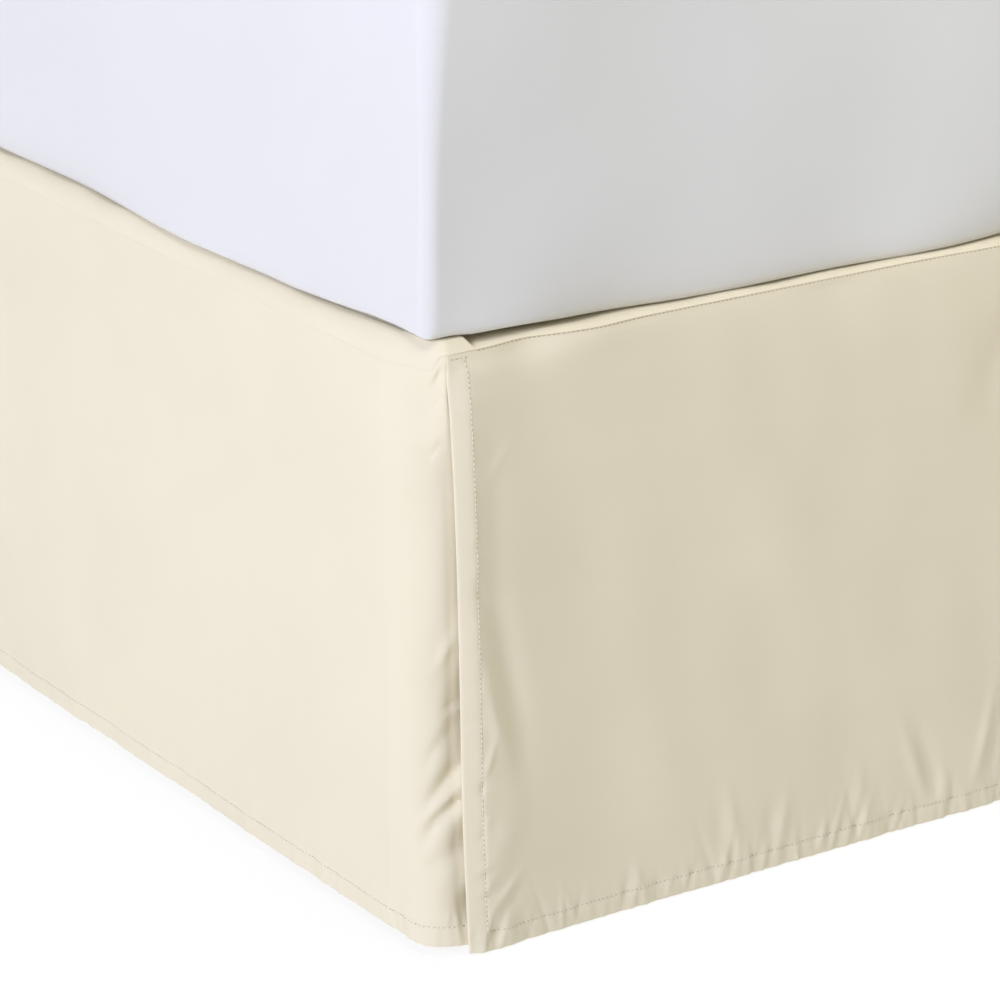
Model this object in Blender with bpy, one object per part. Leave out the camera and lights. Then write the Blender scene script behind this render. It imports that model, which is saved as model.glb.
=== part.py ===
"""A tailored bed skirt on a plain queen bed: deck, three drop panels with lapped foot corners,
the box foundation and legs that carry it, and the mattress that holds its deck down.

Run with: blender --background --python part.py
Units are metres.  +Z is up, +Y points to the head end, -Y to the foot end.  The floor is Z = 0.
"""
import math
from collections import namedtuple

import bpy
import numpy as np

# ---------------------------------------------------------------- driving dimensions
BED_WIDTH = 1.524          # queen, 60 in, seam to seam
BED_LENGTH = 2.032         # queen, 80 in, foot seam to head edge
DECK_HEIGHT = 0.406        # floor to the top of the deck: a 16 in drop
MATTRESS_HEIGHT = 0.280
LEG_HEIGHT = 0.175
FLARE_ROOM = 0.018         # the foot panel stands this far out past its seam

HALF_WIDTH = BED_WIDTH / 2
FOOT_Y = -(BED_LENGTH - FLARE_ROOM) / 2
HEAD_Y = FOOT_Y + BED_LENGTH

# ---------------------------------------------------------------- cloth
CLOTH = 0.0012             # thickness of one layer of the drop
HEM_CLOTH = 0.0022         # thickness where a hem is turned up
HEM_WIDTH = 0.012
GAP = 0.0004               # between pieces that meet
CORNER_RADIUS = 0.044      # plan radius of the seam at a foot corner
DECK_ROLL = 0.012          # the deck turns down over the side edges by this much
DECK_TURN_AWAY = (math.radians(46), math.radians(60))    # and levels out here, round a foot corner
FOOT_ROOM_TURN = (math.radians(50), math.radians(60))    # where the foot panel comes before it
SLANT_TURN = math.radians(22)      # at the deck a foot corner slants to the free edge
SLANT_REACH = 0.0408               # its slanting face, from the middle of the corner's round
SLANT_SOFTNESS = 0.0012
SLANT_FADE = (0.03, 0.23)          # parts of the drop over which the corner turns round
WRAP_LENGTH = 0.120        # a side panel runs this far along the foot end, behind the foot panel

# side panels: distances out from the seam plane
SIDE_BULGE = 0.0030
SIDE_BULGE_DEPTH = 0.060
SIDE_TUCK = 0.0070
SIDE_HEM_Z = 0.0065

# foot panel: distances out from the foot seam plane
FOOT_SHOULDER = 0.0040
FOOT_SHOULDER_DEPTH = 0.015
FOOT_SPREAD = 0.0120
FOOT_HEM_Z = 0.0020
EDGE_DROP = 0.0038         # the free edge turns in by this much
EDGE_DROP_WIDTH = 0.0135
EDGE_DROP_START = 0.05     # part of the drop over which the turning in begins
EDGE_START = 0.0178        # free edge at the seam, measured from the side seam plane
EDGE_CURVE = 0.0150
EDGE_CURVE_DEPTH = 0.235
EDGE_LEAN = 0.0044
LAP_GAP = 0.0034           # outer face of the wrap to outer face of the foot panel
LAP_HOLLOW = 0.0080        # and more than that half way down
LAP_HOLLOW_MIDDLE = 0.64
LAP_HOLLOW_REACH = 0.25
SEAM_REACH = 0.009         # a side panel hangs flush with the deck's edge over this depth

# ---------------------------------------------------------------- soft folds of the drop
# at: metres from the left foot corner on the foot panel, from its own foot corner on a side panel
# width: half-width of the fold; depth: outwards if positive; middle, reach: its centre and
# half-height as parts of the drop, from 0 at the seam to 1 at the hem; lean: metres per whole drop
Fold = namedtuple("Fold", "at width depth middle reach lean")

FOOT_FOLDS = (
    Fold(0.036, 0.020, 0.0017, 0.42, 0.40, 0.050),
    Fold(0.112, 0.048, -0.0036, 0.52, 0.50, 0.070),
    Fold(0.340, 0.055, 0.0030, 0.58, 0.40, 0.360),
    Fold(0.490, 0.030, -0.0030, 0.15, 0.30, -0.060),
    Fold(0.610, 0.075, 0.0032, 0.62, 0.45, 0.080),
    Fold(0.790, 0.085, -0.0034, 0.60, 0.45, -0.060),
    Fold(0.965, 0.070, 0.0032, 0.50, 0.50, 0.120),
    Fold(1.130, 0.080, -0.0030, 0.62, 0.40, -0.090),
    Fold(1.290, 0.065, 0.0030, 0.55, 0.45, -0.200),
    Fold(1.430, 0.040, -0.0022, 0.60, 0.35, -0.060),
)
LEFT_FOLDS = (
    Fold(0.110, 0.055, 0.0016, 0.35, 0.45, 0.060),
    Fold(0.270, 0.080, -0.0016, 0.55, 0.50, 0.050),
    Fold(0.450, 0.090, 0.0020, 0.45, 0.50, 0.100),
    Fold(0.700, 0.090, -0.0030, 0.60, 0.45, -0.080),
    Fold(0.940, 0.095, 0.0032, 0.60, 0.50, 0.120),
    Fold(1.220, 0.090, -0.0030, 0.55, 0.45, -0.100),
    Fold(1.480, 0.100, 0.0030, 0.62, 0.45, 0.090),
    Fold(1.760, 0.080, -0.0028, 0.60, 0.40, -0.060),
)
RIGHT_FOLDS = (
    Fold(0.140, 0.060, 0.0020, 0.45, 0.45, -0.060),
    Fold(0.360, 0.085, -0.0026, 0.60, 0.45, 0.080),
    Fold(0.600, 0.095, 0.0030, 0.55, 0.50, -0.110),
    Fold(0.860, 0.085, -0.0028, 0.60, 0.45, 0.070),
    Fold(1.110, 0.100, 0.0032, 0.60, 0.50, 0.100),
    Fold(1.390, 0.085, -0.0030, 0.55, 0.45, -0.090),
    Fold(1.640, 0.090, 0.0026, 0.60, 0.45, 0.060),
    Fold(1.880, 0.060, -0.0022, 0.60, 0.40, -0.050),
)

# ---------------------------------------------------------------- bed under and over the cloth
BASE_INSET = 0.012         # the foundation's sides stand this far inside the seam planes
BASE_FOOT_INSET = 0.010
BASE_HEAD_INSET = 0.006
BASE_CORNER = 0.040
BASE_TOP_EDGE = 0.010
BASE_BOTTOM_EDGE = 0.005
LEG_RADIUS = 0.024
LEG_FOOT_RADIUS = 0.019
LEG_SIDES = 20
LEG_X = 0.700
LEG_END_INSET = 0.110      # end legs, in from the foundation's ends

MATTRESS_SIDE = -0.0105    # the mattress stands this far outside the side seam planes
MATTRESS_FOOT_INSET = 0.0140
MATTRESS_HEAD_INSET = 0.0040
# rings of the mattress, from its flat underside up: height, inset from its outline, plan radius
Ring = namedtuple("Ring", "height inset radius")
MATTRESS_RINGS = (
    Ring(0.0000, 0.0045, 0.012),
    Ring(0.0012, 0.0022, 0.012),
    Ring(0.0035, 0.0008, 0.012),
    Ring(0.0080, 0.0000, 0.012),
    Ring(0.0320, -0.0005, 0.012),
    Ring(0.0800, -0.0010, 0.012),
    Ring(0.1500, -0.0015, 0.013),
    Ring(0.2150, -0.0005, 0.019),
    Ring(0.2430, 0.0020, 0.024),
    Ring(0.2580, 0.0080, 0.032),
    Ring(0.2680, 0.0200, 0.042),
    Ring(0.2735, 0.0420, 0.060),
    Ring(0.2775, 0.1200, 0.110),
    Ring(MATTRESS_HEIGHT, 0.3200, 0.200),
)

# ---------------------------------------------------------------- mesh density
DROP_ROWS = (0.0, 0.006, 0.014, 0.026, 0.045, 0.075, 0.125, 0.185, 0.245, 0.300, 0.345, 0.375)
ARC_STEPS = 9
SIDE_STEP = 0.056
FOOT_STEP = 0.050
WRAP_STEP = 0.030
HEM_TURN = 0.0012          # along the cloth, where a hem's double layer ends
EDGE_COLUMNS = (0.020, 0.032, 0.046, 0.062, 0.080)
DECK_ROLL_STEPS = 4
DECK_SIDE_STEPS = 8
DECK_FOOT_STEPS = 6
SMOOTH_ANGLE = math.radians(38)


# ---------------------------------------------------------------- curves and folds
def smoothstep(value, low, high):
    part = np.clip((value - low) / (high - low), 0.0, 1.0)
    return part * part * (3.0 - 2.0 * part)


def relief(along, down, folds):
    """Height of the soft folds at a place along the panel and a part of the way down it."""
    total = np.zeros(np.broadcast(along, down).shape)
    for fold in folds:
        centre = fold.at + fold.lean * (down - fold.middle)
        across = np.exp(-((along - centre) / fold.width) ** 2)
        upright = np.exp(-((down - fold.middle) / fold.reach) ** 2)
        total = total + fold.depth * across * upright
    return total * smoothstep(down, 0.0, 0.12)


def edge_place(down):
    """The foot panel's free edge: its distance from the side seam plane, part way down."""
    depth = down * DECK_HEIGHT
    curve = EDGE_CURVE * (1.0 - np.exp(-depth / EDGE_CURVE_DEPTH))
    return EDGE_START + curve + EDGE_LEAN * down ** 6


def foot_out(across, down):
    """How far the foot panel stands out from the foot seam plane, across metres from the left."""
    from_corner = np.minimum(across, BED_WIDTH - across)
    depth = down * DECK_HEIGHT
    shoulder = FOOT_SHOULDER * (1.0 - np.exp(-depth / FOOT_SHOULDER_DEPTH))
    middle = shoulder + FOOT_SPREAD * down + relief(across, down, FOOT_FOLDS)
    from_edge = np.maximum(from_corner - edge_place(down), 0.0)
    low_drop = EDGE_DROP * np.clip(1.0 - from_edge / EDGE_DROP_WIDTH, 0.0, 1.0) ** 1.25
    return middle - low_drop * smoothstep(down, 0.0, EDGE_DROP_START)


def side_out(along, down, folds):
    """How far a side panel stands out from the side seam plane, along metres from its foot corner."""
    depth = down * DECK_HEIGHT
    bulge = SIDE_BULGE * np.sin(np.pi * np.clip(depth / (2 * SIDE_BULGE_DEPTH), 0.0, 1.0))
    return bulge - SIDE_TUCK * down ** 1.6 + relief(along, down, folds)


def corner_path(along):
    """Plan of a side panel's seam from the head end round the foot corner.

    along runs from 0 at the head end.  Returns the distance from the side seam plane, the
    distance from the foot seam plane, and the turn of the outward direction, 0 on the side
    and 90 degrees on the foot end.
    """
    side_run = BED_LENGTH - CORNER_RADIUS
    arc = CORNER_RADIUS * math.pi / 2
    turn = np.clip((along - side_run) / CORNER_RADIUS, 0.0, math.pi / 2)
    beyond = np.maximum(along - side_run - arc, 0.0)
    before = np.maximum(side_run - along, 0.0)
    across = CORNER_RADIUS * (1.0 - np.cos(turn)) + beyond
    back = CORNER_RADIUS * (1.0 - np.sin(turn)) + before
    return across, back, turn


def corner_share(turn):
    """0 on the side, 1 on the foot end, for what changes round a foot corner."""
    return smoothstep(turn, math.radians(10), math.radians(62))


def deck_turn(turn):
    """Angle through which the deck's edge is turned down: 90 degrees on a side, 0 at the foot."""
    return math.pi / 2 * (1.0 - smoothstep(turn, *DECK_TURN_AWAY))


def side_seam_z(turn):
    """Top of a side panel, just under the deck's turned-down edge."""
    angle = deck_turn(turn)
    lowest = DECK_HEIGHT - DECK_ROLL * (1.0 - np.cos(angle)) - CLOTH * np.cos(angle)
    return lowest - GAP


def corner_fill(turn, before):
    """How far the deck's edge stands out from the corner's round.

    At its height the cloth runs slanting from the side to the free edge, and meets the foot
    there.  before is the distance back from where the round begins.
    """
    to_side = CORNER_RADIUS / np.maximum(np.cos(turn), 0.05)
    to_slant = SLANT_REACH / np.cos(turn - SLANT_TURN) + before * math.tan(SLANT_TURN)
    to_foot = CORNER_RADIUS / np.maximum(np.sin(turn), 0.05)
    near = sum(np.exp((CORNER_RADIUS - face) / SLANT_SOFTNESS) for face in (to_side, to_slant, to_foot))
    return -SLANT_SOFTNESS * np.log(near)


def foot_room(turn):
    """How far back the deck's edge keeps, so that the foot panel stands before it."""
    return (CLOTH + GAP) * smoothstep(turn, *FOOT_ROOM_TURN)


# ---------------------------------------------------------------- places on the cloth
def side_panel_point(along, down, side, folds):
    """Outer face of a side panel; side is -1 for the left one and 1 for the right one."""
    across, back, turn = corner_path(along)
    flank = side_out(back, down, folds)
    wrap_across = across if side < 0 else BED_WIDTH - across
    hollow = LAP_HOLLOW * np.exp(-((down - LAP_HOLLOW_MIDDLE) / LAP_HOLLOW_REACH) ** 2)
    wrap = foot_out(wrap_across, down) - LAP_GAP - hollow
    out = flank + (wrap - flank) * corner_share(turn)
    at_seam = np.exp(-(down * DECK_HEIGHT / SEAM_REACH) ** 2)
    out = out - (out + foot_room(turn)) * at_seam
    before = np.maximum(BED_LENGTH - CORNER_RADIUS - along, 0.0)
    out = out + corner_fill(turn, before) * (1.0 - smoothstep(down, *SLANT_FADE))
    across = across - out * np.cos(turn)
    back = back - out * np.sin(turn)
    top = side_seam_z(turn)
    z = top + (SIDE_HEM_Z - top) * down
    return np.stack(np.broadcast_arrays(side * (HALF_WIDTH - across), FOOT_Y + back, z), axis=-1)


def foot_panel_point(part, down):
    """Outer face of the foot panel; part runs from 0 to 1 between its free edges."""
    edge = edge_place(down)
    across = edge + part * (BED_WIDTH - 2 * edge)
    z = DECK_HEIGHT + (FOOT_HEM_Z - DECK_HEIGHT) * down
    y = FOOT_Y - foot_out(across, down)
    return np.stack(np.broadcast_arrays(across - HALF_WIDTH, y, z), axis=-1)


def drop_rows():
    """Rows down a panel, as parts of the drop, close together at the seam and at the hem."""
    drop = DECK_HEIGHT - FOOT_HEM_Z
    rows = DROP_ROWS + (drop - HEM_WIDTH - HEM_TURN, drop - HEM_WIDTH, drop)
    return np.array(rows) / drop


def hemmed(start, end, step):
    """Even places from start to end, with the start's own hem first."""
    count = round((end - start - HEM_WIDTH) / step)
    inner = np.linspace(start + HEM_WIDTH, end, count + 1)
    return np.concatenate(([start, inner[0], inner[0] + HEM_TURN], inner[1:]))


# ---------------------------------------------------------------- meshes
def outward_normals(points, away_from):
    """Unit normals of a grid of points, turned away from a place inside the bed."""
    rows = np.gradient(points, axis=0)
    columns = np.gradient(points, axis=1)
    normals = np.cross(rows, columns)
    normals /= np.linalg.norm(normals, axis=-1, keepdims=True)
    middle = points[points.shape[0] // 2, points.shape[1] // 2]
    centre_normal = normals[points.shape[0] // 2, points.shape[1] // 2]
    if np.dot(centre_normal, middle - np.array(away_from)) < 0:
        normals = -normals
    return normals


def add_object(name, vertices, faces, colour, roughness, metallic=0.0):
    mesh = bpy.data.meshes.new(name)
    mesh.from_pydata([tuple(vertex) for vertex in vertices], [], faces)
    mesh.validate()
    mesh.shade_smooth()
    mesh.set_sharp_from_angle(angle=SMOOTH_ANGLE)
    material = bpy.data.materials.new(name)
    material.use_nodes = True
    shader = material.node_tree.nodes["Principled BSDF"]
    shader.inputs["Base Color"].default_value = (*colour, 1.0)
    shader.inputs["Roughness"].default_value = roughness
    shader.inputs["Metallic"].default_value = metallic
    mesh.materials.append(material)
    made = bpy.data.objects.new(name, mesh)
    bpy.context.scene.collection.objects.link(made)
    return made


def face_outwards(faces, vertices):
    """Turns every face round if the closed mesh they make is inside out."""
    volume = 0.0
    for face in faces:
        first = vertices[face[0]]
        for second, third in zip(face[1:-1], face[2:]):
            volume += np.dot(first, np.cross(vertices[second], vertices[third]))
    if volume < 0:
        return [tuple(reversed(face)) for face in faces]
    return faces


def skin_faces(row_count, column_count):
    """Quads of a grid, and of a second grid under it, turned the other way."""
    size = row_count * column_count
    faces = []
    for row in range(row_count - 1):
        for column in range(column_count - 1):
            corner = row * column_count + column
            quad = (corner, corner + 1, corner + column_count + 1, corner + column_count)
            faces.append(quad)
            faces.append(tuple(size + index for index in reversed(quad)))
    return faces


def rim_faces(rim, size):
    """Quads that join the two grids along a closed line of grid points."""
    return [(there, here, here + size, there + size)
            for here, there in zip(rim, rim[1:] + rim[:1])]


def both_skins(outer, inner):
    return np.concatenate((outer.reshape(-1, 3), inner.reshape(-1, 3)))


def add_sheet(name, outer, thickness, away_from, colour, roughness):
    """A closed cloth solid: a grid of outer points and the same grid moved in by the thickness."""
    inner = outer - outward_normals(outer, away_from) * thickness[..., None]
    row_count, column_count = outer.shape[:2]
    size = row_count * column_count
    last_row = size - column_count
    last_column = column_count - 1
    rim = list(range(column_count))
    rim += [row * column_count + last_column for row in range(1, row_count)]
    rim += [last_row + column for column in range(last_column - 1, -1, -1)]
    rim += [row * column_count for row in range(row_count - 2, 0, -1)]
    vertices = both_skins(outer, inner)
    faces = skin_faces(row_count, column_count) + rim_faces(rim, size)
    return add_object(name, vertices, face_outwards(faces, vertices), colour, roughness)


def rounded_outline(half_x, low_y, high_y, radius, arc_steps, side_steps):
    """Points round a rectangle with round corners, in order, with extra points on each side."""
    centres = ((half_x - radius, high_y - radius, 0), (-half_x + radius, high_y - radius, 90),
               (-half_x + radius, low_y + radius, 180), (half_x - radius, low_y + radius, 270))
    points = []
    for index, (x, y, start) in enumerate(centres):
        angles = np.radians(np.linspace(start, start + 90, arc_steps + 1))
        arc = np.stack((x + radius * np.cos(angles), y + radius * np.sin(angles)), axis=-1)
        next_x, next_y, next_start = centres[(index + 1) % 4]
        turned = math.radians(next_start)
        target = np.array((next_x + radius * math.cos(turned), next_y + radius * math.sin(turned)))
        run = [arc[-1] + (target - arc[-1]) * step / side_steps for step in range(1, side_steps)]
        points.extend(arc)
        points.extend(run)
    return np.array(points)


def add_stack(name, rings, colour, roughness, metallic=0.0):
    """A closed solid through rings of equal point counts, from the lowest to the highest."""
    count = len(rings[0])
    vertices = np.concatenate(rings)
    faces = [tuple(range(count))]
    for level in range(len(rings) - 1):
        low = level * count
        for index in range(count):
            following = (index + 1) % count
            faces.append((low + following, low + index, low + count + index, low + count + following))
    top = (len(rings) - 1) * count
    faces.append(tuple(top + index for index in reversed(range(count))))
    return add_object(name, vertices, face_outwards(faces, vertices), colour, roughness, metallic)


def at_height(outline, z):
    return np.column_stack((outline, np.full(len(outline), z)))


# ---------------------------------------------------------------- the bed skirt
IVORY = (0.84, 0.77, 0.64)
DECK_IVORY = (0.84, 0.78, 0.67)
CLOTH_ROUGHNESS = 0.8
INSIDE = (0.0, 0.0, DECK_HEIGHT / 2)


def hem_thickness(rows, from_end):
    """Cloth thickness on a grid, with hems turned up at the bottom and at both ends.

    from_end is the distance of each column from its nearer end.
    """
    at_bottom = rows[:, None] >= rows[-2]
    at_end = from_end[None, :] < HEM_WIDTH + HEM_TURN / 2
    return np.where(at_bottom | at_end, HEM_CLOTH, CLOTH)


def add_side_panel(name, side, folds):
    side_run = BED_LENGTH - CORNER_RADIUS
    arc_end = side_run + CORNER_RADIUS * math.pi / 2
    full = arc_end + WRAP_LENGTH - CORNER_RADIUS
    head = hemmed(0.0, side_run, SIDE_STEP)[:-1]
    corner = np.linspace(side_run, arc_end, ARC_STEPS + 1)[:-1]
    wrap = full - hemmed(0.0, full - arc_end, WRAP_STEP)[::-1]
    columns = np.concatenate((head, corner, wrap))
    rows = drop_rows()
    outer = side_panel_point(columns[None, :], rows[:, None], side, folds)
    thickness = hem_thickness(rows, np.minimum(columns, full - columns))
    return add_sheet(name, outer, thickness, INSIDE, IVORY, CLOTH_ROUGHNESS)


def add_foot_panel():
    left_half = hemmed(0.0, HALF_WIDTH, FOOT_STEP)
    beyond = left_half[left_half > EDGE_COLUMNS[-1] + FOOT_STEP / 2]
    left_half = np.concatenate((left_half[:3], EDGE_COLUMNS, beyond))
    columns = np.concatenate((left_half, BED_WIDTH - left_half[-2::-1]))
    rows = drop_rows()
    outer = foot_panel_point(columns[None, :] / BED_WIDTH, rows[:, None])
    thickness = hem_thickness(rows, np.minimum(columns, BED_WIDTH - columns))
    thickness[:2] = CLOTH
    return add_sheet("drop_foot", outer, thickness, INSIDE, IVORY, CLOTH_ROUGHNESS)


def deck_rim():
    """Places along the deck's edge, from the head end of the left side to the middle of the foot."""
    side_run = BED_LENGTH - CORNER_RADIUS
    arc_end = side_run + CORNER_RADIUS * math.pi / 2
    side = np.linspace(0.0, side_run, DECK_SIDE_STEPS + 1)[:-1]
    corner = np.linspace(side_run, arc_end, ARC_STEPS + 1)
    half_foot = np.linspace(arc_end, arc_end + HALF_WIDTH - CORNER_RADIUS, DECK_FOOT_STEPS + 1)[1:]
    return np.concatenate((side, corner, half_foot))


def add_deck():
    """The flat sheet under the mattress, turned down over both sides and level at the foot."""
    rim = deck_rim()
    across, back, turn = corner_path(rim)
    angle = deck_turn(turn)
    before = np.maximum(BED_LENGTH - CORNER_RADIUS - rim, 0.0)
    start = foot_room(turn) - corner_fill(turn, before)
    skins = ([], [])
    for step in range(DECK_ROLL_STEPS + 1):
        part = step / DECK_ROLL_STEPS
        swing = angle * (1.0 - part)
        rolled = DECK_ROLL * (np.sin(angle) - np.sin(swing))
        level = DECK_ROLL * (1.0 - np.sin(angle)) * part
        drop = DECK_ROLL * (1.0 - np.cos(swing))
        for rows, depth in zip(skins, (0.0, CLOTH)):
            inset = start + rolled + level + depth * np.sin(swing)
            z = DECK_HEIGHT - drop - depth * np.cos(swing)
            rows.append(np.column_stack((across + inset * np.cos(turn),
                                         back + inset * np.sin(turn), z)))
    outer, inner = (mirrored_rim(np.array(rows)) for rows in skins)
    row_count, column_count = outer.shape[:2]
    size = row_count * column_count
    last_row = size - column_count
    middle = tuple(range(last_row, size))
    rim = list(range(column_count))
    rim += [row * column_count + column_count - 1 for row in range(1, row_count)]
    rim += [row * column_count for row in range(row_count - 1, 0, -1)]
    vertices = both_skins(outer, inner)
    faces = skin_faces(row_count, column_count) + rim_faces(rim, size)
    faces += [middle, tuple(size + index for index in reversed(middle))]
    return add_object("deck", vertices, face_outwards(faces, vertices), DECK_IVORY, CLOTH_ROUGHNESS)


def mirrored_rim(rows):
    """Turns corner distances into places, and adds the other half of the bed's outline."""
    left = rows.copy()
    left[..., 0] = rows[..., 0] - HALF_WIDTH
    left[..., 1] = rows[..., 1] + FOOT_Y
    right = left[:, -2::-1].copy()
    right[..., 0] = -right[..., 0]
    return np.concatenate((left, right), axis=1)


# ---------------------------------------------------------------- the plain bed
def add_base():
    """The box foundation under the deck."""
    top = DECK_HEIGHT - CLOTH - GAP
    low_y = FOOT_Y + BASE_FOOT_INSET
    high_y = HEAD_Y - BASE_HEAD_INSET
    rings = []
    levels = [(LEG_HEIGHT + BASE_BOTTOM_EDGE * (1 - math.cos(angle)),
               BASE_BOTTOM_EDGE * (1 - math.sin(angle)))
              for angle in np.linspace(0.0, math.pi / 2, 3)]
    levels += [(top - BASE_TOP_EDGE * (1 - math.cos(angle)), BASE_TOP_EDGE * (1 - math.sin(angle)))
               for angle in np.linspace(math.pi / 2, 0.0, 5)]
    for z, inset in levels:
        outline = rounded_outline(HALF_WIDTH - BASE_INSET - inset, low_y + inset, high_y - inset,
                                  BASE_CORNER - inset, 5, 1)
        rings.append(at_height(outline, z))
    return add_stack("base", rings, (0.62, 0.60, 0.57), 0.85)


def add_leg(name, x, y):
    """A round tapered leg under the foundation."""
    angles = np.linspace(0.0, 2 * math.pi, LEG_SIDES, endpoint=False)
    circle = np.stack((np.cos(angles), np.sin(angles)), axis=-1)
    top = LEG_HEIGHT - GAP
    levels = ((0.0, LEG_FOOT_RADIUS - 0.0015), (0.0015, LEG_FOOT_RADIUS),
              (top - 0.012, LEG_RADIUS), (top, LEG_RADIUS))
    rings = [at_height(circle * radius + np.array((x, y)), z) for z, radius in levels]
    return add_stack(name, rings, (0.10, 0.075, 0.055), 0.45)


def add_legs():
    low = FOOT_Y + BASE_FOOT_INSET + LEG_END_INSET
    high = HEAD_Y - BASE_HEAD_INSET - LEG_END_INSET
    number = 0
    for y in (low, (low + high) / 2, high):
        for x in (-LEG_X, LEG_X):
            number += 1
            add_leg(f"leg_{number}", x, y)


def add_mattress():
    """The mattress whose weight holds the deck down, with soft edges and a slight crown."""
    bottom = DECK_HEIGHT + GAP
    half_x = HALF_WIDTH + MATTRESS_SIDE
    rings = []
    for ring in MATTRESS_RINGS:
        outline = rounded_outline(half_x - ring.inset, FOOT_Y + MATTRESS_FOOT_INSET + ring.inset,
                                  HEAD_Y - MATTRESS_HEAD_INSET - ring.inset, ring.radius, 6, 6)
        rings.append(at_height(outline, bottom + ring.height))
    return add_stack("mattress", rings, (0.86, 0.86, 0.88), 0.8)


def main():
    for existing in list(bpy.data.objects):
        bpy.data.objects.remove(existing, do_unlink=True)
    add_base()
    add_legs()
    add_deck()
    add_side_panel("drop_left", -1, LEFT_FOLDS)
    add_side_panel("drop_right", 1, RIGHT_FOLDS)
    add_foot_panel()
    add_mattress()


main()
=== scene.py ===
"""Looks of the tailored bed skirt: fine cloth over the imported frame's panels, the mattress,
stitches, finishes, light and camera.  Units are metres in the frame's own axes: +Z up,
-Y the foot end, -X the left side.
"""
import math

import bpy
import numpy as np
from mathutils import Matrix, Vector


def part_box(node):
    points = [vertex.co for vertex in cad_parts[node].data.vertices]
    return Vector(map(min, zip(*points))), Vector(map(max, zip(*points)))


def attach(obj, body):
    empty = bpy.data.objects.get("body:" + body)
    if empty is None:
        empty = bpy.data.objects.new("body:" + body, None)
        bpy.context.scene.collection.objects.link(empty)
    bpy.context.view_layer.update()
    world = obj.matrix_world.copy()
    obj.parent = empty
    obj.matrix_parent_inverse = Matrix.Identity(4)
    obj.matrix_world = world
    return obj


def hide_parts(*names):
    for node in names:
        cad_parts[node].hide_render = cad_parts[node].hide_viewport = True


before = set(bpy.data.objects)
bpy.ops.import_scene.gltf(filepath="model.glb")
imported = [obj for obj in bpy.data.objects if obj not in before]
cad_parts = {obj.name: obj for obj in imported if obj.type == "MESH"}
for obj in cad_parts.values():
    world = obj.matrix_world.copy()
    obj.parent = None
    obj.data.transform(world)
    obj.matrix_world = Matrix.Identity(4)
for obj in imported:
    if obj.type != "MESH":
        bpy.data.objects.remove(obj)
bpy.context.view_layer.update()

# ------ sizes read from the frame
deck_low, deck_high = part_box("deck")
mattress_low, mattress_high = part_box("mattress")

CLOTH = 0.0012             # one layer of the drop
HEM_CLOTH = 0.0022         # where a hem is turned up
GAP = 0.0004
HALF_WIDTH = deck_high.x
BED_WIDTH = 2 * HALF_WIDTH
DECK_HEIGHT = deck_high.z
FOOT_Y = deck_low.y - CLOTH - GAP
HEAD_Y = deck_high.y
BED_LENGTH = HEAD_Y - FOOT_Y
FOOT_HEM_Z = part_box("drop_foot")[0].z
SIDE_HEM_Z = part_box("drop_left")[0].z

# ------ how the drop hangs, as in the solids
CORNER_RADIUS = 0.044
DECK_ROLL = 0.012
DECK_TURN_AWAY = (math.radians(46), math.radians(60))
FOOT_ROOM_TURN = (math.radians(50), math.radians(60))
BEHIND_FOOT_TURN = (math.radians(50), math.radians(66))
SLANT_TURN = math.radians(22)
SLANT_REACH = 0.0408
SLANT_SOFTNESS = 0.0012
SLANT_FADE = (0.03, 0.23)
WRAP_LENGTH = 0.12
HEM_WIDTH = 0.012
HEM_EDGE = 0.0015          # over this a hem's thickness runs out
# where, round the corner, a side panel's shape goes over to the foot panel's
CORNER_SHARE = (math.radians(10), math.radians(62))
FOLD_START = (0.0, 0.12)   # parts of the drop over which its folds grow

SIDE_BULGE = 0.003
SIDE_BULGE_DEPTH = 0.06
SIDE_TUCK = 0.007

FOOT_SHOULDER = 0.004
FOOT_SHOULDER_DEPTH = 0.015
FOOT_SPREAD = 0.012
EDGE_DROP = 0.0038
EDGE_DROP_WIDTH = 0.0135
EDGE_DROP_POWER = 1.25
EDGE_DROP_START = 0.05
EDGE_START = 0.0178
EDGE_CURVE = 0.015
EDGE_CURVE_DEPTH = 0.235
EDGE_LEAN = 0.0044
LAP_GAP = 0.0034
LAP_HOLLOW = 0.008
LAP_HOLLOW_MIDDLE = 0.64
LAP_HOLLOW_REACH = 0.25
SEAM_REACH = 0.009

# broad folds.  A row is: metres from the left foot corner on the foot panel, or from its own foot
# corner on a side panel; width; depth outwards; middle and reach, as parts of the drop; lean
FOOT_FOLDS = (
    (0.036, 0.02, 0.0017, 0.42, 0.4, 0.05), (0.112, 0.048, -0.0036, 0.52, 0.5, 0.07),
    (0.34, 0.055, 0.003, 0.58, 0.4, 0.36), (0.49, 0.03, -0.003, 0.15, 0.3, -0.06),
    (0.61, 0.075, 0.0032, 0.62, 0.45, 0.08), (0.79, 0.085, -0.0034, 0.6, 0.45, -0.06),
    (0.965, 0.07, 0.0032, 0.5, 0.5, 0.12), (1.13, 0.08, -0.003, 0.62, 0.4, -0.09),
    (1.29, 0.065, 0.003, 0.55, 0.45, -0.2), (1.43, 0.04, -0.0022, 0.6, 0.35, -0.06),
)
LEFT_FOLDS = (
    (0.11, 0.055, 0.0016, 0.35, 0.45, 0.06), (0.27, 0.08, -0.0016, 0.55, 0.5, 0.05),
    (0.45, 0.09, 0.002, 0.45, 0.5, 0.1), (0.7, 0.09, -0.003, 0.6, 0.45, -0.08),
    (0.94, 0.095, 0.0032, 0.6, 0.5, 0.12), (1.22, 0.09, -0.003, 0.55, 0.45, -0.1),
    (1.48, 0.1, 0.003, 0.62, 0.45, 0.09), (1.76, 0.08, -0.0028, 0.6, 0.4, -0.06),
)
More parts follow.
